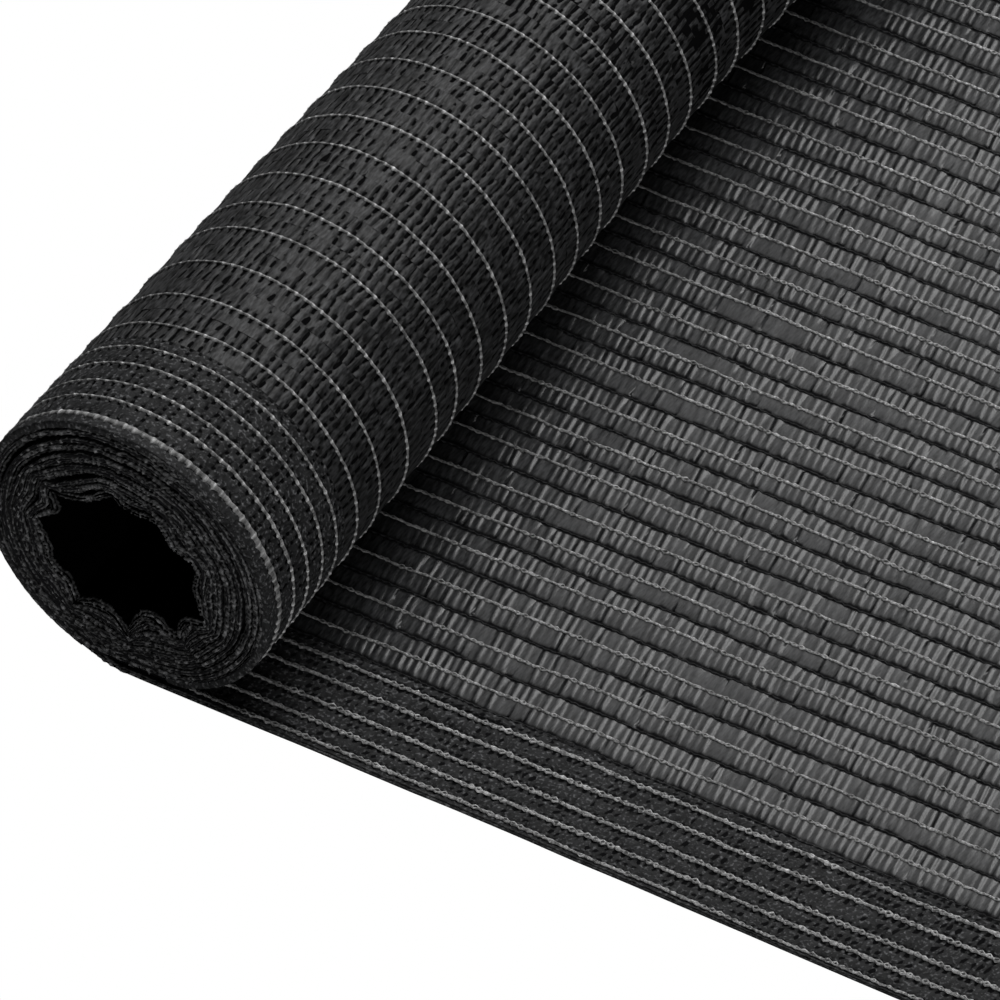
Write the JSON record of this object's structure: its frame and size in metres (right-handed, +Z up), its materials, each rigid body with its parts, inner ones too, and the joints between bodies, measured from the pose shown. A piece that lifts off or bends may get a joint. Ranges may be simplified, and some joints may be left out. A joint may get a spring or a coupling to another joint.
{
  "type": "roll of shade net",
  "caption": "Partly unrolled roll of dark knitted shade net with pale lengthwise chains, lying on its flat loose end, with a wavy hollow core.",
  "frame": {"origin": "middle of the ground area that the part covers", "axes": "+X from the roll to the free end of the cloth, +Y along the roll, +Z up"},
  "size_m": [0.2212, 0.3362, 0.0545],
  "materials": {
    "net_outer_face": "knitted flat tape, satin, dark anthracite",
    "net_inner_face": "knitted flat tape, glossy ribs, anthracite",
    "pale_chain": "pale grey twisted thread, satin"
  },
  "bodies": {
    "root": {"wound_roll": "net_outer_face", "loose_end": "net_inner_face"}
  },
  "joints": []
}
